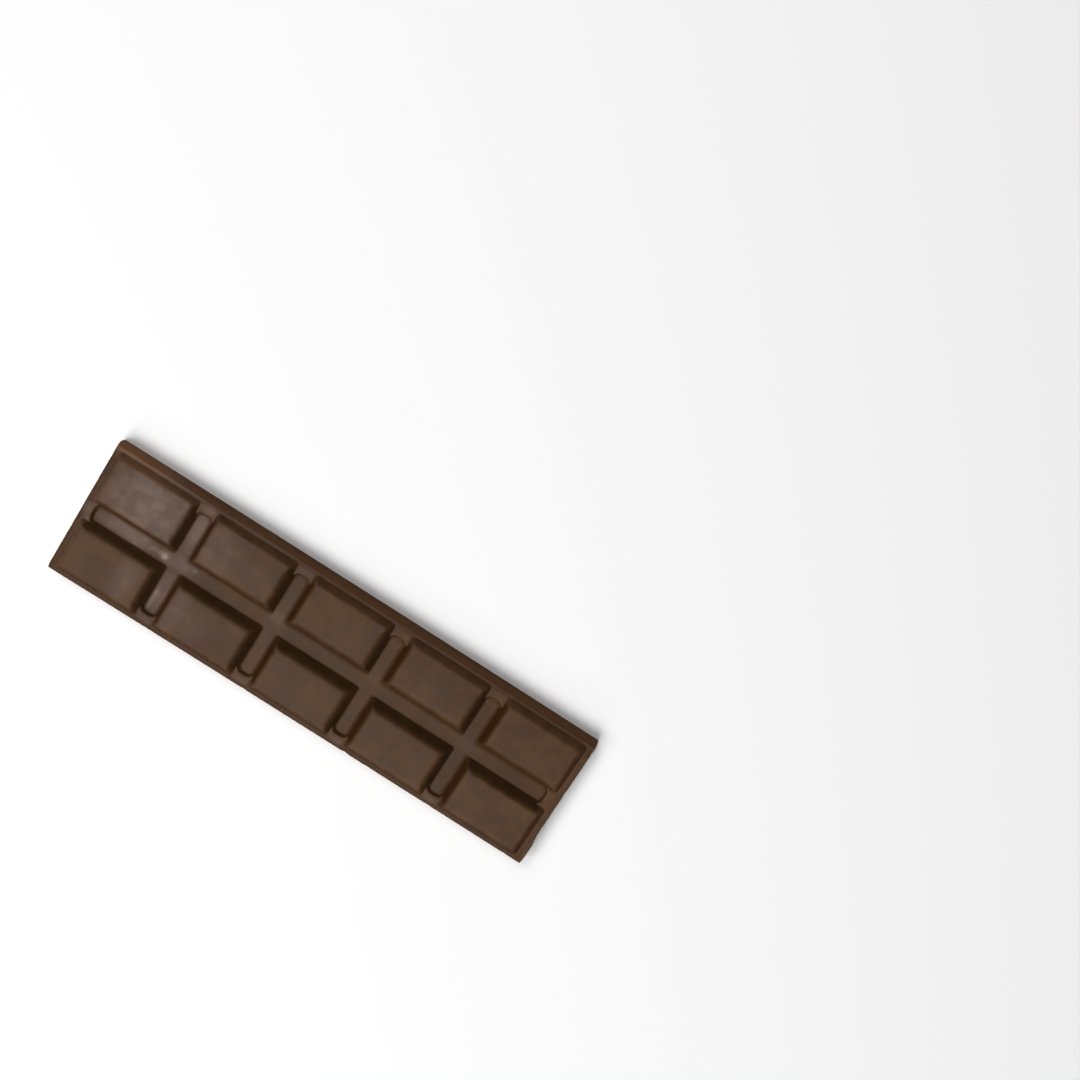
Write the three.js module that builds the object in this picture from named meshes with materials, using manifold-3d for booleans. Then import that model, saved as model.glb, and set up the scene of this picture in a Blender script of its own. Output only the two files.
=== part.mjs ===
// A moulded bar of milk chocolate, lying face up. A plinth with drafted sides carries two rows
// of five raised blocks. Between the blocks run sunken snapping channels with rounded ends,
// which stop short of the narrow ledge that runs round the whole bar.
// Millimetres, +Z up. The origin is the middle of the flat underside, +X runs along the bar.

import * as THREE from "three";
import { mergeVertices } from "three/addons/utils/BufferGeometryUtils.js";
import Module from "manifold-3d";

// Overall size at the foot of the sides
const barLength = 142.1;
const barWidth = 37.6;
const barCornerRadius = 1.0;

// Heights above the underside
const channelFloor = 4.95;
const ledgeHeight = 5.9;
const blockHeight = 8.0;

// Layout of the blocks
const columns = 5;
const rows = 2;
const columnPitch = 28.45;
const rowPitch = 19.57;
const blockTopLength = 20.8;
const blockTopWidth = 11.8;
const blockCornerRadius = 0.8;

// Snapping channels, measured on their floors
const lengthwiseChannel = 132.4;
const crosswiseChannel = 29.0;
const channelCornerRadius = 1.3;

// How far a wall runs outwards for each millimetre that it drops
const sideRun = 0.13;
const blockWallRun = 0.64;
const channelEndRun = 0.7;

// Roundings where faces meet
const rimRounding = 0.3;
const blockEdgeRounding = 0.45;
const channelFootRounding = 0.25;

// A channel is cut this much wider than it shows on either side, and the blocks fill the rest
const channelHiddenSide = 0.3;
// How far a block reaches below the channels' floors, and a cutter above the ledge
const overlap = 0.8;

// Straight steps in a quarter turn, of a corner in plan and of a rounded edge
const cornerSegments = 4;
const roundingSegments = 3;

const wasm = await Module();
wasm.setup();

// Rectangle with quarter-circle corners, centred on the origin.
function roundedRectangle(length, width, radius) {
  const x = length / 2 - radius;
  const y = width / 2 - radius;
  const shape = new THREE.Shape();
  shape.absarc(x, y, radius, 0, Math.PI / 2);
  shape.absarc(-x, y, radius, Math.PI / 2, Math.PI);
  shape.absarc(-x, -y, radius, Math.PI, 1.5 * Math.PI);
  shape.absarc(x, -y, radius, 1.5 * Math.PI, 2 * Math.PI);
  shape.closePath();
  return shape;
}

// Upright slab over a rounded rectangle, from bottom to top, with both of its rims rounded over.
function roundedSlab({ length, width, radius, bottom, top, rounding }) {
  const geometry = new THREE.ExtrudeGeometry(roundedRectangle(length, width, radius), {
    depth: top - bottom - 2 * rounding,
    curveSegments: cornerSegments,
    bevelThickness: rounding,
    bevelSize: rounding,
    bevelOffset: -rounding,
    bevelSegments: roundingSegments,
  });
  return geometry.translate(0, 0, bottom + rounding);
}

// Splays the walls: a vertex moves outwards by run for each millimetre that it lies below level.
function splay(geometry, level, run) {
  const points = geometry.getAttribute("position");
  for (let i = 0; i < points.count; i++) {
    const shift = run * (level - points.getZ(i));
    points.setX(i, points.getX(i) + Math.sign(points.getX(i)) * shift);
    points.setY(i, points.getY(i) + Math.sign(points.getY(i)) * shift);
  }
  return geometry;
}

// Distances of count places at an even pitch, centred on zero.
function spaced(count, pitch) {
  return Array.from({ length: count }, (_, i) => (i - (count - 1) / 2) * pitch);
}

// Slab with drafted sides, up to the ledge, and widest just above its rounded foot.
function plinth() {
  const narrowing = 2 * sideRun * (ledgeHeight - rimRounding);
  const slab = roundedSlab({
    length: barLength - narrowing,
    width: barWidth - narrowing,
    radius: barCornerRadius,
    bottom: 0,
    top: ledgeHeight,
    rounding: rimRounding,
  });
  return splay(slab, ledgeHeight, sideRun);
}

// Raised block with splayed walls, which reaches down past the channels' floors.
function block() {
  const slab = roundedSlab({
    length: blockTopLength,
    width: blockTopWidth,
    radius: blockCornerRadius,
    bottom: channelFloor - overlap,
    top: blockHeight,
    rounding: blockEdgeRounding,
  });
  return splay(slab, blockHeight, blockWallRun);
}

// The floor between two rows of blocks is what their walls leave of the pitch.
function floorBetween(pitch, blockTop) {
  return pitch - blockTop - 2 * blockWallRun * (blockHeight - channelFloor);
}

// What a channel along X takes out of the plinth: it widens upwards and has rounded ends.
function channelCutter(floorLength, floorWidth) {
  const slab = roundedSlab({
    length: floorLength,
    width: floorWidth + 2 * channelHiddenSide,
    radius: channelCornerRadius,
    bottom: channelFloor,
    top: ledgeHeight + overlap,
    rounding: channelFootRounding,
  });
  return splay(slab, channelFloor, -channelEndRun);
}

function channelCutters() {
  const lengthwise = channelCutter(lengthwiseChannel, floorBetween(rowPitch, blockTopWidth));
  const crosswise = spaced(columns - 1, columnPitch).map((x) =>
    channelCutter(crosswiseChannel, floorBetween(columnPitch, blockTopLength))
      .rotateZ(Math.PI / 2)
      .translate(x, 0, 0),
  );
  return [lengthwise, ...crosswise];
}

// Closed solid of a geometry, for cutting and joining.
function solidOf(geometry) {
  geometry.deleteAttribute("normal");
  geometry.deleteAttribute("uv");
  const merged = mergeVertices(geometry);
  return new wasm.Manifold(
    new wasm.Mesh({
      numProp: 3,
      vertProperties: merged.getAttribute("position").array,
      triVerts: new Uint32Array(merged.index.array),
    }),
  );
}

// Geometry of a solid, with a normal of its own on every flat face.
function geometryOf(solid) {
  const mesh = solid.getMesh();
  const geometry = new THREE.BufferGeometry();
  geometry.setAttribute("position", new THREE.BufferAttribute(mesh.vertProperties, 3));
  geometry.setIndex(new THREE.BufferAttribute(mesh.triVerts, 1));
  const faces = geometry.toNonIndexed();
  faces.computeVertexNormals();
  return faces;
}

// The channels are cut first, and the blocks then fill them up to the feet of their own walls.
function barSolid() {
  let solid = solidOf(plinth());
  for (const cutter of channelCutters()) {
    solid = solid.subtract(solidOf(cutter));
  }
  for (const x of spaced(columns, columnPitch)) {
    for (const y of spaced(rows, rowPitch)) {
      solid = solid.add(solidOf(block().translate(x, y, 0)));
    }
  }
  return solid;
}

const milkChocolate = new THREE.MeshStandardMaterial({
  color: 0x59463a,
  roughness: 0.42,
  metalness: 0,
});

const bar = new THREE.Mesh(geometryOf(barSolid()), milkChocolate);
bar.name = "bar";

const chocolateBar = new THREE.Group();
chocolateBar.add(bar);

export default chocolateBar;
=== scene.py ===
import math

import bpy
import numpy as np
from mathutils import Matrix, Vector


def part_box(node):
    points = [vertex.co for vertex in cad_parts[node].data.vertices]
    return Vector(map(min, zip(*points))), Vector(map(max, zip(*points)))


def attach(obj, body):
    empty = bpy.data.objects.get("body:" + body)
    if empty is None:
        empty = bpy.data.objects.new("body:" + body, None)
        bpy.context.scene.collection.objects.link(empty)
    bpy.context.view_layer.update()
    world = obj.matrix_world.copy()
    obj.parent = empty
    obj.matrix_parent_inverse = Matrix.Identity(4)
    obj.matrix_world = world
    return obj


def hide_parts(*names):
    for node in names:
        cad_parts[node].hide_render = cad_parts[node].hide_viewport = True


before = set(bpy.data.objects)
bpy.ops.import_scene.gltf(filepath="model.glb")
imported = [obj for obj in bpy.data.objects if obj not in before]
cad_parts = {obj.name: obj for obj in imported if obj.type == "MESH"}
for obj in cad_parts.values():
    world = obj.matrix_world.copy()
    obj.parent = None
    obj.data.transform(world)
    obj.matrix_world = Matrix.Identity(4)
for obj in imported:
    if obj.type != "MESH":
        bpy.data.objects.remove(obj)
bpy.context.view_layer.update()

mm = 0.001
nearZero = 1e-9  # stands in for zero below a fraction line


# Camera

# Where the photograph was taken from, by a fit to the bar's edges. The place is in millimetres
# from the middle of the bar's underside.
viewpoint = {
    "place": (21.3, 88.2, 268.8),
    "turn": (-0.125, 0.040, 0.570),  # radians about X, then Y, then Z
    "focalLength": 1.0,              # in widths of the square frame
    "sensor": 36.0,
    "clip": (0.01, 20.0),            # metres
}


def makeCamera(v):
    data = bpy.data.cameras.new("camera")
    data.sensor_width = v["sensor"]
    data.lens = v["focalLength"] * v["sensor"]
    data.clip_start, data.clip_end = v["clip"]
    camera = bpy.data.objects.new("camera", data)
    camera.location = [c * mm for c in v["place"]]
    camera.rotation_euler = v["turn"]
    bpy.context.collection.objects.link(camera)
    bpy.context.scene.camera = camera


# Lights and floor

# Square softboxes, each hung in its own direction from the bar and facing it, in a room that is
# dark otherwise, over a floor of pale paper. Metres and watts.
studio = {
    "softboxes": {
        "front": {"toward": (0.0, -0.5, 1.0), "watts": 8.5},
        "leftFront": {"toward": (-0.5, -0.5, 1.0), "watts": 5.7},
        "leftBack": {"toward": (-0.5, 0.5, 1.0), "watts": 6.3},
        "lowFront": {"toward": (0.0, -1.2, 1.0), "watts": 2.8},
    },
    "distance": 1.3,  # of each box from the bar's middle
    "side": 0.6,      # of each box
    "floorSide": 4.0,
    "floorTone": (0.92, 0.92, 0.92),
    "floorRoughness": 0.85,
    "floorSpecularLevel": 0.1,
}


def makeSoftbox(name, box, s):
    data = bpy.data.lights.new(name, "AREA")
    data.shape = "SQUARE"
    data.size = s["side"]
    data.energy = box["watts"]
    light = bpy.data.objects.new(name, data)
    toward = np.array(box["toward"]) / np.linalg.norm(box["toward"])
    light.location = toward * s["distance"]
    light.rotation_euler = (math.acos(toward[2]), 0, math.atan2(toward[0], -toward[1]))
    bpy.context.collection.objects.link(light)


def makeStudio(s):
    for name, box in s["softboxes"].items():
        makeSoftbox(name, box, s)
    world = bpy.data.worlds.new("dark_room")
    world.use_nodes = True
    world.node_tree.nodes["Background"].inputs["Strength"].default_value = 0.0
    bpy.context.scene.world = world
    bpy.context.scene.view_settings.view_transform = "Standard"

    half = s["floorSide"] / 2
    corners = [(-half, -half, 0), (half, -half, 0), (half, half, 0), (-half, half, 0)]
    mesh = bpy.data.meshes.new("floor")
    mesh.from_pydata(corners, [], [(0, 1, 2, 3)])
    floor = bpy.data.objects.new("floor", mesh)
    bpy.context.collection.objects.link(floor)
    paper = bpy.data.materials.new("pale_paper")
    paper.use_nodes = True
    shader = paper.node_tree.nodes["Principled BSDF"]
    shader.inputs["Base Color"].default_value = (*s["floorTone"], 1)
    shader.inputs["Roughness"].default_value = s["floorRoughness"]
    shader.inputs["Specular IOR Level"].default_value = s["floorSpecularLevel"]
    mesh.materials.append(paper)


# The moulded bar

# Millimetres. The heights and the layout are those of the solid that it replaces.
bar = {
    "ledge": 5.9,
    "channelFloor": 4.95,
    "columns": 5,
    "rows": 2,
    "columnPitch": 28.45,
    "rowPitch": 19.57,
    "blockTop": (20.8, 11.8),
    "blockCorner": 0.7,
    "blockWallRun": 0.64,     # outwards for each millimetre down
    "channelLengths": (132.9, 29.05),          # the long one and those across it
    "channelCorners": (1.6, 2.0),              # radii in plan, in the same order
    # how far each real channel lies along from its even place
    "longChannelShift": -0.25,
    "crossChannelShifts": (-0.14, -0.09, -0.23, -0.28),
    "channelOverlap": 0.3,    # how far a channel's outline runs under the blocks' walls
    "channelEndRun": 0.5,     # outwards for each millimetre up
    "sideRun": 0.13,          # outwards for each millimetre down
    "rimCorner": 0.6,         # radius in plan of the bar's four corners
    "rimRounding": 0.35,      # radii of the side's profile, at the ledge and at the foot
    "footRounding": 0.25,
    "arcPoints": 6,           # points on each rounding of the side, and bands on its straight part
    "wallBands": 8,
    # height over which a channel's floor turns into its end and that into the ledge
    "channelBlend": 0.3,
    "footBlend": 0.2,         # height over which a block's wall turns into the ground
    # on a block's sides towards -X, +X, -Y and +Y
    "innerEdgeBlend": (1.3, 1.5, 1.7, 1.3),    # height over which the top turns into a channel's wall
    "outerEdgeBlend": (1.3, 0.6, 1.2, 0.6),    # and into a wall above the ledge
    "innerCrease": (0.4, 0.3, 0.12, 0.18),     # depth along the foot of a wall in a channel
    "outerCrease": (0.15, 0.03, 0.30, 0.09),   # and of a wall above the ledge
    "endCrease": 0.28,                         # depth along the channels' ends
    "creaseReach": 0.3,                        # height on a wall at which a crease is down to a third
    # where inner values give way to outer ones, from the blocks' outermost top edges
    "outerSideFrom": (-2.2, -1.2),
    # how the rim leaves its straight outline, and where each part of that sets in, from the middle
    "frontSlope": 0.8,        # how far the ledge falls away along the -Y side
    "frontSwell": 0.6,        # and how far its edge stands out there
    "frontFrom": (16.8, 18.2),
    "backSwell": 0.2,
    "backFrom": (16.8, 17.6),
    "leftSlope": 0.3,
    "leftPinch": 0.2,         # the left end is narrow at the ledge and fuller below
    "leftBelly": 0.36,
    "leftFrom": (69.0, 70.2),
    "rightSwell": 0.2,        # the right end stands out a little at the ledge
    "rightLump": 0.5,         # and has a lump near the -Y corner
    "rightFrom": (68.8, 70.0),
    "lumpPlace": -15.0,
    "lumpReach": 4.4,
    "bow": 0.1,               # the middle of the bar bends aside by this, and its ends the other way
    # sizes of the waves; ripples are given as shortest and longest wave and number of waves
    "waviness": 0.022,
    "topRipples": (7, 26, 14),
    "sideWaviness": 0.03,     # the whole side is drawn in by as much, to make room for them
    "sideRipples": (5, 30, 10),
    "undersideWaviness": 0.09,
    "undersideRipples": (9, 45, 12),
    "undersideShare": 0.8,    # of the underside's depth that the ripples change
    "undersideLeast": 0.05,   # of that depth that stays everywhere
    "dishReach": 3.0,         # how far in from its edge the underside has mostly left the table
    "dents": 34,
    "dentDepth": 0.16,
    "dentSizes": (0.25, 0.8),
    "dentDepths": (0.3, 1.0),     # shares of the depth, which also grows with the size
    "dentsOnLongSides": 0.75,
    "dentsAbove": 0.55,           # of the ledge's height
    "seed": 7,
    # distances between the grid's lines, how these grow with the distance from where they are
    # finest, and further such places at the channels' ends, outwards from each end
    "finestStep": 0.11,
    "coarsestStep": 1.0,
    "stepGrowth": 0.32,
    "longChannelLines": (-0.6, 0.2),
    "crossChannelLines": (-0.8, 0.4),
}


# Where the bar is bloomed, scuffed or tawny, and where painted sheen, a painted highlight and painted
# shade lie
# on it: centre and half sizes in millimetres, and strength. The milky patches over the left end are
# bloom together with painted sheen.
wearAndPaintedLight = {
    "onBlocks": [
        # bloom with painted sheen over the left end
        (-55.0, 9.8, 11.0, 9.0, 0.385),
        (-36.0, 9.0, 7.0, 6.5, 0.16),
        (-26.5, 8.2, 8.0, 3.2, 0.06),
        (-51.3, -9.5, 3.0, 6.5, 0.16),
        (-36.6, -9.5, 2.8, 6.0, 0.17),
        # painted highlight along the front top edges of the right-hand blocks
        (42.0, -15.2, 32.0, 0.9, 0.05),
        (-32.5, -10.0, 5.5, 5.0, 0.08),
    ],
    "onLedge": [
        (-68.5, 0.3, 1.6, 1.7, 0.20),
        (-67.2, -1.9, 0.6, 0.7, 0.35),
        (-42.5, 16.3, 2.5, 1.2, 0.20),
        # bloom with painted sheen along the back ledge towards the left end, in this and the next
        (-59.0, 17.6, 15.0, 1.2, 0.15),
        (-30.0, 17.5, 10.0, 1.2, 0.05),
        (-42.7, -16.8, 2.2, 1.1, 0.12),
        (-14.2, 16.3, 2.5, 1.0, 0.06),
        (-14.2, -16.8, 2.2, 1.1, 0.14),
        (14.2, -16.8, 2.2, 1.1, 0.14),
        (42.7, -16.8, 2.2, 1.1, 0.14),
    ],
    "inChannels": [
        (-57.5, 0.2, 9.0, 2.2, 0.30),
        (-57.8, 0.9, 2.4, 0.8, 0.40),
        (-54.6, -1.2, 0.9, 0.6, 0.36),
        (-52.8, 1.0, 1.1, 0.6, 0.34),
        (-50.6, -0.3, 0.7, 0.6, 0.48),
        (-49.8, 0.3, 0.7, 0.6, 0.60),
        (-47.6, 0.2, 1.1, 0.7, 0.50),
        (-46.4, -0.1, 1.1, 0.9, 0.85),
        (-42.6, 0.4, 5.0, 2.4, 0.28),
        (-38.0, 0.9, 0.6, 0.6, 0.45),
        (-42.5, 9.5, 2.4, 6.5, 0.28),
        (-42.5, -8.5, 2.4, 7.0, 0.21),
        (-43.6, -10.6, 0.7, 3.6, 0.60),
        (-14.2, 2.2, 2.4, 1.8, 0.20),
        (-14.2, 0.0, 2.4, 14.0, 0.04),
        (14.2, 2.0, 2.4, 1.6, 0.05),
        (42.7, 0.5, 4.0, 2.0, 0.06),
    ],
    "atAnyHeight": [
        (-61.0, 17.9, 12.0, 3.0, 0.09),
        (-67.9, 0.0, 0.8, 19.0, 0.10),
    ],
    "tawny": [
        (-67.0, 19.2, 16.0, 2.4, 0.98),
        (-60.0, 16.2, 9.0, 0.9, 0.50),
        (68.4, 0.0, 1.4, 18.0, 0.12),
    ],
    "tawnySide": 0.38,
    "tawnyBackLedge": 0.10,
    "backLedgeFrom": (16.7, 17.1),
    # reach along X and Y of the blocks' outer top edges, of the channels and of the flat face
    "blocksReach": (67.2, 15.6),
    "channelsReach": (65.3, 13.7),
    "faceReach": (70.2, 18.1),
    "outsideFrom": (-0.9, -0.1),  # where the outside sets in, from the blocks' outer top edges
    "sideFrom": (-0.2, 0.2),      # where the side sets in, from the flat face's edge
    # heights between which the patches on each level set in, and between which they end
    "floorFrom": (4.75, 4.88),
    "floorUpTo": (5.0, 5.3),
    "ledgeFrom": (5.4, 5.7),
    "ledgeUpTo": (6.0, 6.3),
    "topsFrom": (7.1, 7.8),
    # painted shade: how far each kind of face turns to the shaded brown by the way it faces, matched to
    # the photograph; walls and ledge towards -X, +X, -Y and +Y
    "innerWalls": (1.00, 0.42, 0.46, 0.52),
    "endWalls": (0.90, 0.08, 0.85, 0.20),
    "outerWalls": (0.34, 0.00, 0.50, 0.00),
    "outerLedge": (0.30, 0.25, 0.35, 0.88),
    "channelFloor": 0.23,
    "side": 0.38,
    "shadeOnBackOfTops": 0.17,
    "endsFrom": (0.0, 0.4),         # where the channels' end walls set in, from the channels' reach
    "ledgeDarkFrom": (0.8, 1.5),    # and the ledge, from the blocks' outer top edges
    "topsDarkAcross": (5.0, 15.0),  # and the back of the tops, along Y
    # heights between which each of these ends or sets in
    "endsUpTo": (5.85, 6.1),
    "floorDarkUpTo": (5.1, 5.6),
    "ledgeDarkUpTo": (6.0, 6.6),
    "topsDarkFrom": (6.6, 7.4),
    # how steep a face is for it to be dull, and for it to take the painted shade
    "dullFrom": (0.05, 0.35),
    "darkFrom": (0.10, 0.42),
    "darkSooner": 0.40,           # how much less steep an inner wall towards +Y has to be
}


# Places of equal things in a row, with the row's middle at zero.
def spacedEvenly(count, pitch):
    return (np.arange(count) - (count - 1) / 2) * pitch


# Spread: how far a rectangle has to grow on all sides, its round corners keeping their radius,
# until its outline reaches the point. On a corner the circle's equation is solved for it.
def spread(x, y, halfLength, halfWidth, radius):
    a = np.abs(x) - (halfLength - radius)
    b = np.abs(y) - (halfWidth - radius)
    gap = np.abs(a - b)
    corner = (a + b - np.sqrt(np.maximum(2 * radius**2 - gap**2, 0))) / 2
    return np.where(gap < radius, corner, np.maximum(a, b) - radius)


# The lower of two heights, blended by a parabola where they differ by less than the blend.
def softMin(a, b, blend):
    near = np.maximum(blend - np.abs(a - b), 0) / blend
    return np.minimum(a, b) - near**2 * blend / 4


# The higher of two heights, blended in the same way.
def softMax(a, b, blend):
    return -softMin(-a, -b, blend)


# Sum of plane waves in random directions, each with a wavelength from the given range. It is
# mostly between -1 and 1.
def ripples(x, y, shortest, longest, waves, rng):
    amplitude = 0.7
    angles = rng.uniform(0, 2 * math.pi, waves)
    phases = rng.uniform(0, 2 * math.pi, waves)
    steps = 2 * math.pi / rng.uniform(shortest, longest, waves)
    alongX = np.multiply.outer(x, np.cos(angles) * steps)
    alongY = np.multiply.outer(y, np.sin(angles) * steps)
    return np.sin(alongX + alongY + phases).sum(-1) / math.sqrt(waves) * amplitude


# Grid lines from -half to half. They are finest at the given places, and the step grows with the
# distance to the nearest of them: from line to line the integral of 1 / step grows evenly.
def gradedLines(half, places, b):
    samples = 40001
    t = np.linspace(-half, half, samples)
    distance = np.abs(t[:, None] - np.array(places)[None, :]).min(1)
    step = np.minimum(b["finestStep"] + b["stepGrowth"] * distance, b["coarsestStep"])
    count = np.concatenate([[0], np.cumsum((t[1:] - t[:-1]) * 2 / (step[1:] + step[:-1]))])
    return np.interp(np.linspace(0, count[-1], int(count[-1]) + 2), count, t)


# From 0 at the low value to 1 at the high one by a cubic that is level at both.
def ease(value, low, high):
    t = np.clip((value - low) / (high - low), 0, 1)
    return t * t * (3 - 2 * t)


# How far a point of the plan lies outside a rectangle of the given reach; less than zero inside it.
def beyond(x, y, reach):
    return np.maximum(np.abs(x) - reach[0], np.abs(y) - reach[1])


# A value that a block has on its sides towards -X, +X, -Y and +Y, for points at the given offsets
# from its centre. Round a corner it is shared out by how far the point lies outwards each way,
# from a little inside the block's edges.
def bySide(values, offX, offY, halfLength, halfWidth):
    zone = 2.0
    least = 1e-6
    outX = np.maximum(np.abs(offX) - halfLength + zone, 0)
    outY = np.maximum(np.abs(offY) - halfWidth + zone, 0)
    left, right, front, back = values
    valueX = np.where(offX > 0, right, left)
    valueY = np.where(offY > 0, back, front)
    return (valueX * outX + valueY * outY + least * valueY) / (outX + outY + least)


# A setting that has values of its own for walls in the channels and for walls above the ledge.
def innerOrOuter(b, setting, block, outside):
    inner = bySide(b["inner" + setting], *block)
    outer = bySide(b["outer" + setting], *block)
    return inner * (1 - outside) + outer * outside


# Height of the moulded face over the plan: the plinth's ledge, with the channels sunk into it and
# the blocks raised out of it. Every wall is a slope on the spread of its outline, and the crease
# along its foot is a bell curve on the slope's height above the ground.
def mouldedHeight(x, y, b, top):
    length, width = b["blockTop"]
    drop = (top - b["channelFloor"]) * b["blockWallRun"]
    floorAcross = b["rowPitch"] - width - 2 * drop
    floorAlong = b["columnPitch"] - length - 2 * drop
    halfLong, halfCross = (c / 2 for c in b["channelLengths"])
    longCorner, crossCorner = b["channelCorners"]
    halfAcross = floorAcross / 2 + b["channelOverlap"]
    halfAlong = floorAlong / 2 + b["channelOverlap"]
    channels = [spread(x - b["longChannelShift"], y, halfLong, halfAcross, longCorner)]
    for place, shift in zip(spacedEvenly(b["columns"] - 1, b["columnPitch"]), b["crossChannelShifts"]):
        channels.append(spread(x - place, y - shift, halfAlong, halfCross, crossCorner))
    rise = np.minimum.reduce(channels) / b["channelEndRun"]
    sunk = softMax(b["channelFloor"] + 0 * x, b["channelFloor"] + rise, b["channelBlend"])
    height = softMin(b["ledge"] + 0 * x, sunk, b["channelBlend"])
    crease = b["endCrease"] * np.exp(-((rise / b["creaseReach"]) ** 2))
    columns = spacedEvenly(b["columns"], b["columnPitch"])
    rows = spacedEvenly(b["rows"], b["rowPitch"])
    outermost = (columns[-1] + length / 2, rows[-1] + width / 2)
    outside = ease(beyond(x, y, outermost), *b["outerSideFrom"])
    for column in columns:
        for row in rows:
            block = (x - column, y - row, length / 2, width / 2)
            wall = top - spread(*block, b["blockCorner"]) / b["blockWallRun"]
            deep = innerOrOuter(b, "Crease", block, outside)
            foot = deep * np.exp(-(((wall - height) / b["creaseReach"]) ** 2))
            crease = np.maximum(np.where(wall > height, 0, crease), foot)
            raised = softMin(top + 0 * x, wall, innerOrOuter(b, "EdgeBlend", block, outside))
            height = softMax(height, raised, b["footBlend"])
    return height - crease


# Where the real bar leaves its straight outline. All of it is a move of the points near the rim,
# in full at the ledge's height and fading out downwards, apart from the left end's belly, which is
# a hump over the height with its crest two fifths of the way up.
def unevenRim(points, b):
    x, y, z = points.T
    share = np.clip(z / b["ledge"], 0, 1)
    front = ease(-y, *b["frontFrom"])
    back = ease(y, *b["backFrom"])
    left = ease(-x, *b["leftFrom"])
    right = ease(x, *b["rightFrom"])
    lump = np.exp(-(((y - b["lumpPlace"]) / b["lumpReach"]) ** 4))
    crestScale = 5.4  # makes the crest about 1
    belly = crestScale * share * (1 - share) ** 1.5
    moved = points.copy()
    moved[:, 0] += (b["rightSwell"] + b["rightLump"] * lump) * right * share
    moved[:, 0] += (b["leftPinch"] * share - b["leftBelly"] * belly) * left
    moved[:, 1] += (b["backSwell"] * back - b["frontSwell"] * front) * share
    moved[:, 2] -= (b["frontSlope"] * front + b["leftSlope"] * left * (1 - front)) * share
    return moved


# Maps a rectangle onto the same rectangle with round corners: in each corner's square a point
# keeps its direction from the square's inner corner, and its larger side becomes its distance.
def roundOff(x, y, halfLength, halfWidth, radius):
    a = np.maximum(np.abs(x) - (halfLength - radius), 0) / radius
    b = np.maximum(np.abs(y) - (halfWidth - radius), 0) / radius
    shrink = np.maximum(a, b) / np.maximum(np.hypot(a, b), nearZero)
    inCorner = (a > 0) & (b > 0)
    newX = np.sign(x) * (halfLength - radius + a * shrink * radius)
    newY = np.sign(y) * (halfWidth - radius + b * shrink * radius)
    return np.where(inCorner, newX, x), np.where(inCorner, newY, y)


# Widens an outline on all sides: the end zones move outwards whole and the rest is stretched.
def widen(t, half, zone, extra):
    inner = half - zone
    return np.where(np.abs(t) > inner, t + np.sign(t) * extra, t * (1 + extra / inner))


# Profile of the side from the ledge down to the underside: an arc, the drafted wall, an arc.
# Each row is how far it stands out from the rim's flat edge, and its height.
def sideProfile(b):
    draft = math.atan(b["sideRun"])
    rim, foot = b["rimRounding"], b["footRounding"]
    upper = np.linspace(math.pi / 2, draft, b["arcPoints"])
    lower = np.linspace(draft, -math.pi / 2, b["arcPoints"])
    upperArc = np.stack([rim * np.cos(upper), b["ledge"] - rim + rim * np.sin(upper)], 1)
    lowerZ = foot + foot * np.sin(lower)
    lowerOut = foot * np.cos(lower)
    reach = upperArc[-1, 0] + b["sideRun"] * (upperArc[-1, 1] - lowerZ[0])
    lowerArc = np.stack([reach + lowerOut - lowerOut[0], lowerZ], 1)
    steps = np.linspace(0, 1, b["wallBands"] + 1)[1:-1, None]
    wall = upperArc[-1] * (1 - steps) + lowerArc[0] * steps
    return np.concatenate([upperArc, wall, lowerArc])


# Shallow dents at random places on the rim: each one pushes the points near it down and inwards
# by a bell curve.
def dent(points, b, rimX, rimY, rng):
    count = b["dents"]
    onLongSide = rng.random(count) < b["dentsOnLongSides"]
    place = rng.uniform(-1, 1, count)
    side = np.sign(rng.uniform(-1, 1, count))
    centreX = np.where(onLongSide, place, side) * rimX
    centreY = np.where(onLongSide, side, place) * rimY
    size = rng.uniform(*b["dentSizes"], count)
    depth = rng.uniform(*b["dentDepths"], count) * b["dentDepth"] * size
    distance = np.hypot(points[:, None, 0] - centreX, points[:, None, 1] - centreY)
    high = points[:, None, 2] > b["ledge"] * b["dentsAbove"]
    fade = np.exp(-((distance / size) ** 2)) * depth * high
    points[:, 2] -= fade.sum(1)
    points[:, 0] -= (fade * np.sign(centreX) * ~onLongSide).sum(1)
    points[:, 1] -= (fade * np.sign(centreY) * onLongSide).sum(1)
    return points


# 1 outside the blocks' outer top edges, 0 among the blocks.
def outsideBlocks(x, y, w):
    return ease(beyond(x, y, w["blocksReach"]), *w["outsideFrom"])


# 1 on the bar's sides, 0 on its moulded face.
def onSides(x, y, w):
    return ease(beyond(x, y, w["faceReach"]), *w["sideFrom"])


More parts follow.
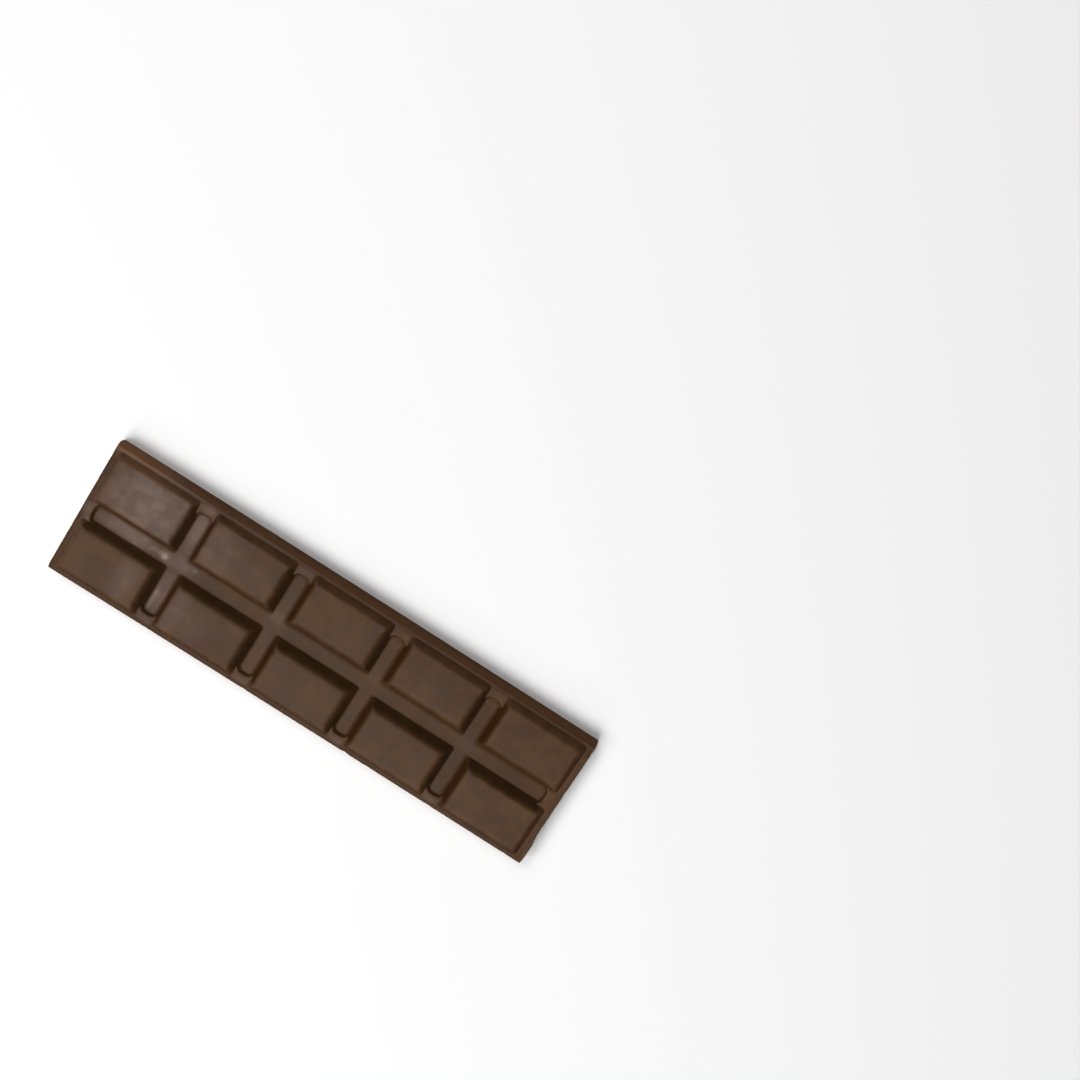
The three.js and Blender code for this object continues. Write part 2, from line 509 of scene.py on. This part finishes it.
# The finish of each point in one vector: how milky it is with bloom and painted sheen, how tawny, and
# how dull. Each patch is a flat-topped bell over an ellipse given as centre and half sizes.
# Those on the blocks, on the ledge and in the channels are kept there by height. The bar's sides
# and its back edge are tawny too, and what is steep outside the blocks' top edges is dull.
def surfaceFinishAndSheen(points, normals, w):
    x, y, z = points.T
    onTop = ease(z, *w["topsFrom"])
    onLedge = ease(z, *w["ledgeFrom"]) * (1 - ease(z, *w["ledgeUpTo"]))
    onFloor = ease(z, *w["floorFrom"]) * (1 - ease(z, *w["floorUpTo"]))
    bloomAndSheen = np.zeros(len(points))
    tawny = np.zeros(len(points))
    kinds = (
        ("onBlocks", bloomAndSheen, onTop),
        ("onLedge", bloomAndSheen, onLedge),
        ("inChannels", bloomAndSheen, onFloor),
        ("atAnyHeight", bloomAndSheen, 1),
        ("tawny", tawny, 1),
    )
    for kind, target, share in kinds:
        for centreX, centreY, halfX, halfY, strength in w[kind]:
            distance = np.hypot((x - centreX) / halfX, (y - centreY) / halfY)
            np.maximum(target, strength * np.exp(-(distance**3)) * share, out=target)
    tawny = np.maximum(tawny, w["tawnySide"] * onSides(x, y, w))
    tawny = np.maximum(tawny, w["tawnyBackLedge"] * ease(y, *w["backLedgeFrom"]))
    dull = ease(1 - normals[:, 2], *w["dullFrom"]) * outsideBlocks(x, y, w)
    return np.stack([bloomAndSheen, tawny, dull], 1)


# Painted shade: how far the brown turns to the shaded brown at each point, standing in for shade on the
# walls, the channels' floors, the ledge, the side and the back of the tops: a value for the walls on
# each side and at the channels' ends, which grows in with the face's steepness, and others for what is
# level.
def paintedShade(points, normals, w):
    x, y, z = points.T
    leanX, leanY, up = normals.T
    outside = outsideBlocks(x, y, w)
    lean = np.maximum(leanX**2 + leanY**2, nearZero)
    end = ease(beyond(x, y, w["channelsReach"]), *w["endsFrom"]) * (1 - ease(z, *w["endsUpTo"]))
    kinds = (
        ("innerWalls", (1 - outside) * (1 - end)),
        ("outerWalls", outside * (1 - end)),
        ("endWalls", end),
    )
    walls = 0
    for kind, share in kinds:
        left, right, front, back = w[kind]
        towardX = np.where(leanX > 0, right, left) * leanX**2
        towardY = np.where(leanY > 0, back, front) * leanY**2
        walls += share * (towardX + towardY) / lean
    sunk = 1 - ease(z, *w["floorDarkUpTo"])
    ledge = (1 - sunk) * (1 - ease(z, *w["ledgeDarkUpTo"]))
    ledge *= ease(beyond(x, y, w["blocksReach"]), *w["ledgeDarkFrom"])
    tops = ease(z, *w["topsDarkFrom"]) * ease(y, *w["topsDarkAcross"])
    level = w["channelFloor"] * sunk + bySide(w["outerLedge"], x, y, *w["blocksReach"]) * ledge
    level += w["shadeOnBackOfTops"] * tops
    sooner = w["darkSooner"] * np.maximum(leanY, 0) * (1 - outside)
    steep = ease(1 - up + sooner, *w["darkFrom"])
    depth = level * (1 - steep) + walls * steep
    side = onSides(x, y, w)
    return depth * (1 - side) + w["side"] * side


# Indices of a grid's outer edge in one anticlockwise round.
def edgeLoop(index):
    return np.concatenate([index[:-1, 0], index[-1, :-1], index[:0:-1, -1], index[0, :0:-1]])


# Quads of a grid whose first index runs along X and second along Y, facing up.
def gridQuads(index):
    return np.stack([index[:-1, :-1], index[1:, :-1], index[1:, 1:], index[:-1, 1:]], -1).reshape(-1, 4)


# A smooth mesh object from points in millimetres and quads.
def meshFromArrays(name, points, quads, material):
    mesh = bpy.data.meshes.new(name)
    mesh.vertices.add(len(points))
    mesh.vertices.foreach_set("co", (points * mm).astype(np.float32).ravel())
    mesh.loops.add(quads.size)
    mesh.loops.foreach_set("vertex_index", quads.astype(np.int32).ravel())
    mesh.polygons.add(len(quads))
    mesh.polygons.foreach_set("loop_start", np.arange(0, quads.size, quads.shape[1], dtype=np.int32))
    mesh.polygons.foreach_set("use_smooth", np.ones(len(quads), dtype=bool))
    mesh.update(calc_edges=True)
    mesh.validate()
    mesh.materials.append(material)
    piece = bpy.data.objects.new(name, mesh)
    bpy.context.collection.objects.link(piece)
    return piece


# A vertex attribute from an array, for the material to read.
def setAttribute(mesh, name, kind, field, values):
    attribute = mesh.attributes.new(name, kind, "POINT")
    attribute.data.foreach_set(field, values.astype(np.float32).ravel())


# Grid lines on both sides of each centre, at the given distances from it.
def bothSides(centres, distances):
    return [c + s * d for c in centres for d in distances for s in (-1, 1)]


# The bar as one closed mesh: the moulded face is a height over a grid on the plan, its edge is
# carried down the side's profile in rings, and the poured back is the same grid, widened.
def makeBar(b, material):
    low, high = (np.array(corner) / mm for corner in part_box("bar"))
    top = high[2]
    rng = np.random.default_rng(b["seed"])
    profile = sideProfile(b)
    reach = profile[:, 0].max()
    halfX = high[0] - reach
    halfY = high[1] - reach - b["bow"]
    edge = b["rimCorner"] - b["rimRounding"]

    # plan of the flat face, with lines close together where the walls begin and end
    drop = (top - b["channelFloor"]) * b["blockWallRun"]
    ledgeDrop = (top - b["ledge"]) * b["blockWallRun"]
    offsets = np.array([0, ledgeDrop, drop])
    halfLength, halfWidth = (size / 2 for size in b["blockTop"])
    halfLong, halfCross = (length / 2 for length in b["channelLengths"])
    linesX = bothSides(spacedEvenly(b["columns"], b["columnPitch"]), halfLength + offsets)
    linesX += bothSides([0], [halfLong + o for o in b["longChannelLines"]] + [halfX])
    linesY = bothSides(spacedEvenly(b["rows"], b["rowPitch"]), halfWidth + offsets)
    linesY += bothSides([0], [halfCross + o for o in b["crossChannelLines"]] + [halfY])
    x, y = np.meshgrid(gradedLines(halfX, linesX, b), gradedLines(halfY, linesY, b), indexing="ij")
    x, y = roundOff(x, y, halfX, halfY, edge)

    z = mouldedHeight(x, y, b, top)
    z += b["waviness"] * (np.tanh(ripples(x, y, *b["topRipples"], rng)) - 1)
    face = np.stack([x, y, z], -1).reshape(-1, 3)

    # the side: widened copies of the face's edge, one for each row of the profile between its ends
    index = np.arange(x.size).reshape(x.shape)
    loop = edgeLoop(index)
    ring = face[loop]
    wobble = b["sideWaviness"] * ripples(ring[:, 0], ring[:, 1], *b["sideRipples"], rng)
    side = []
    for out, height in profile[1:-1]:
        share = height / b["ledge"]
        arch = math.sin(math.pi * min(1, (b["ledge"] - height) / b["ledge"]))
        swell = out + wobble * arch - b["sideWaviness"]
        side.append(np.stack([
            widen(ring[:, 0], halfX, edge, swell),
            widen(ring[:, 1], halfY, edge, swell),
            height + (ring[:, 2] - b["ledge"]) * share,
        ], -1))

    # the poured back: the same grid widened, dished and a little uneven, so that it touches the
    # table at its edge
    foot = profile[-1, 0] - b["sideWaviness"]
    inward = np.minimum(halfX - np.abs(x), halfY - np.abs(y))
    dish = 1 - np.exp(-inward / b["dishReach"])
    uneven = 1 + b["undersideShare"] * ripples(x, y, *b["undersideRipples"], rng)
    backZ = b["undersideWaviness"] * dish * uneven.clip(b["undersideLeast"])
    backX, backY = widen(x, halfX, edge, foot), widen(y, halfY, edge, foot)
    back = np.stack([backX, backY, backZ], -1).reshape(-1, 3)

    points = np.concatenate([face, *side, back])
    points = unevenRim(dent(points, b, halfX, halfY, rng), b)
    # the bow is a parabola along the bar
    points[:, 1] += b["bow"] * (1 - 2 * (points[:, 0] / high[0]) ** 2)
    points = np.clip(points, low, high)

    # the faces: both grids, the back's turned over, and a band between each ring and the next
    rings = [loop]
    for k in range(len(side)):
        rings.append(len(face) + k * len(loop) + np.arange(len(loop)))
    backIndex = index + len(face) + len(side) * len(loop)
    rings.append(edgeLoop(backIndex))
    quads = [gridQuads(index), gridQuads(backIndex)[:, ::-1]]
    for upper, lower in zip(rings[:-1], rings[1:]):
        quads.append(np.stack([upper, lower, np.roll(lower, -1), np.roll(upper, -1)], -1))
    quads = np.concatenate(quads)
    piece = meshFromArrays("moulded_bar", points, quads, material)
    normals = np.zeros(points.size, dtype=np.float32)
    piece.data.vertex_normals.foreach_get("vector", normals)
    normals = normals.reshape(-1, 3)
    setAttribute(piece.data, "finishAndSheen", "FLOAT_VECTOR", "vector", surfaceFinishAndSheen(points, normals, wearAndPaintedLight))
    # painted shade, which the material reads to darken the brown
    setAttribute(piece.data, "paintedShade", "FLOAT", "value", paintedShade(points, normals, wearAndPaintedLight))
    print("moulded bar:", x.shape, "grid,", 2 * len(quads), "triangles")
    return piece


# Milk chocolate

chocolate = {
    # linear colours: two browns, what tawny places turn to, the shaded brown of the painted shade, and
    # the milky white of bloom and painted sheen
    "deep": (0.0605, 0.0294, 0.0131),
    "light": (0.0825, 0.0394, 0.0169),
    "tawny": (0.155, 0.063, 0.022),
    # the brown of the painted shade
    "shadedBrown": (0.0340, 0.0132, 0.0030),
    # the milky white of bloom and painted sheen
    "bloomAndSheen": (0.245, 0.182, 0.160),
    # noises: waves for each millimetre, detail and distortion
    "clouds": (0.13, 3.0, 0.5),
    "marbling": (0.30, 4.0, 0.0),
    "specks": (1.5, 3.0, 0.0),
    "grain": (5.0, 3.0, 0.0),
    "lightFrom": (0.40, 0.60),     # noise over which deep turns to light
    "patchyFrom": (0.30, 0.70),    # marbling over which the bloom and painted sheen grow
    "patchiness": (0.65, 1.35),    # from and to these shares of its strength
    "speckledFrom": (0.30, 0.80),  # strength of the bloom and painted sheen over which they break into specks
    "specksFrom": (0.48, 0.70),
    "speckStrength": 0.30,
    "roughness": (0.48, 0.56),
    "roughFrom": (0.35, 0.65),     # marbling over which it grows rougher
    "grainRoughness": 0.08,
    "dullRoughness": 0.85,
    "specularLevel": 0.155,
    "dullSpecularLevel": 0.08,
    "indexOfRefraction": 1.46,
    "bumpStrength": 0.35,
    "bumpHeight": 0.00002,         # metres
}


# Short ways of adding nodes to a material.
class Nodes:
    def __init__(self, material):
        material.use_nodes = True
        self.tree = material.node_tree
        self.shader = self.tree.nodes["Principled BSDF"]

    def add(self, kind, inputs=(), **settings):
        node = self.tree.nodes.new(kind)
        for key, value in settings.items():
            setattr(node, key, value)
        for key, value in dict(inputs).items():
            self.put(value, node.inputs[key])
        return node

    def put(self, value, socket):
        if isinstance(value, bpy.types.NodeSocket):
            self.tree.links.new(value, socket)
        else:
            socket.default_value = value

    def math(self, operation, a, b=0.0, clamp=False):
        node = self.add("ShaderNodeMath", {0: a, 1: b}, operation=operation, use_clamp=clamp)
        return node.outputs[0]

    # Takes a value from the range low to high to the range outLow to outHigh, level at both ends.
    def ramp(self, value, low, high, outLow=0.0, outHigh=1.0):
        inputs = {0: value, 1: low, 2: high, 3: outLow, 4: outHigh}
        return self.add("ShaderNodeMapRange", inputs, interpolation_type="SMOOTHSTEP").outputs[0]

    def noise(self, place, scale, detail, distortion):
        inputs = {"Vector": place, "Scale": scale, "Detail": detail, "Distortion": distortion}
        return self.add("ShaderNodeTexNoise", inputs).outputs[0]

    # Mixes two plain values.
    def blend(self, share, a, b):
        return self.add("ShaderNodeMix", {0: share, 2: a, 3: b}, data_type="FLOAT").outputs[0]

    # Mixes two colours; either may be three plain numbers.
    def mix(self, share, a, b):
        node = self.add("ShaderNodeMix", data_type="RGBA")
        self.put(share, node.inputs[0])
        for socket, colour in ((node.inputs[6], a), (node.inputs[7], b)):
            self.put((*colour, 1) if isinstance(colour, tuple) else colour, socket)
        return node.outputs[2]


# The brown wanders between two tones by large and middling noise, turns to the shaded brown of painted
# shade and to tawny where the bar's attributes say so. The bloom, together with painted sheen, whitens
# it in a marbled way, and breaks into specks where it is strong. A dull face is rougher and reflects
# less.
# A fine grain roughens everything a little.
def makeChocolate(c):
    material = bpy.data.materials.new("milk_chocolate")
    n = Nodes(material)
    place = n.add("ShaderNodeTexCoord").outputs["Object"]
    inMillimetres = n.add("ShaderNodeMapping", {"Vector": place, "Scale": (1 / mm,) * 3}).outputs[0]
    finishAndSheen = n.add("ShaderNodeAttribute", attribute_name="finishAndSheen").outputs["Vector"]
    bloomAndSheen, tawny, dull = n.add("ShaderNodeSeparateXYZ", {0: finishAndSheen}).outputs
    shadedBrown = n.add("ShaderNodeAttribute", attribute_name="paintedShade").outputs["Fac"]

    clouds = n.noise(inMillimetres, *c["clouds"])
    marbling = n.noise(inMillimetres, *c["marbling"])
    specks = n.noise(inMillimetres, *c["specks"])
    grain = n.noise(inMillimetres, *c["grain"])

    tone = n.math("ADD", n.math("MULTIPLY", clouds, 0.5), n.math("MULTIPLY", marbling, 0.5))
    base = n.mix(n.ramp(tone, *c["lightFrom"]), c["deep"], c["light"])
    # painted shade turns the brown darker
    base = n.mix(shadedBrown, base, c["shadedBrown"])
    base = n.mix(tawny, base, c["tawny"])
    patchy = n.ramp(marbling, *c["patchyFrom"], *c["patchiness"])
    speckled = n.ramp(specks, *c["specksFrom"], 0.0, c["speckStrength"])
    speckled = n.math("MULTIPLY", n.ramp(bloomAndSheen, *c["speckledFrom"]), speckled)
    share = n.math("ADD", n.math("MULTIPLY", bloomAndSheen, patchy), speckled, clamp=True)
    # bloom and painted sheen whiten the brown
    n.put(n.mix(share, base, c["bloomAndSheen"]), n.shader.inputs["Base Color"])

    rough = n.ramp(marbling, *c["roughFrom"], *c["roughness"])
    uneven = n.math("MULTIPLY", n.math("SUBTRACT", grain, 0.5), c["grainRoughness"])
    rough = n.blend(dull, n.math("ADD", rough, uneven), c["dullRoughness"])
    n.put(rough, n.shader.inputs["Roughness"])
    level = n.blend(dull, c["specularLevel"], c["dullSpecularLevel"])
    n.put(level, n.shader.inputs["Specular IOR Level"])
    n.put(c["indexOfRefraction"], n.shader.inputs["IOR"])

    relief = {"Height": grain, "Strength": c["bumpStrength"], "Distance": c["bumpHeight"]}
    bump = n.add("ShaderNodeBump", relief)
    n.put(bump.outputs[0], n.shader.inputs["Normal"])
    print("milk chocolate is mixed")
    return material


makeCamera(viewpoint)
makeStudio(studio)
print("camera, lights and floor are in place")

milkChocolate = makeChocolate(chocolate)
mouldedBar = makeBar(bar, milkChocolate)
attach(mouldedBar, "root")
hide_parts("bar")
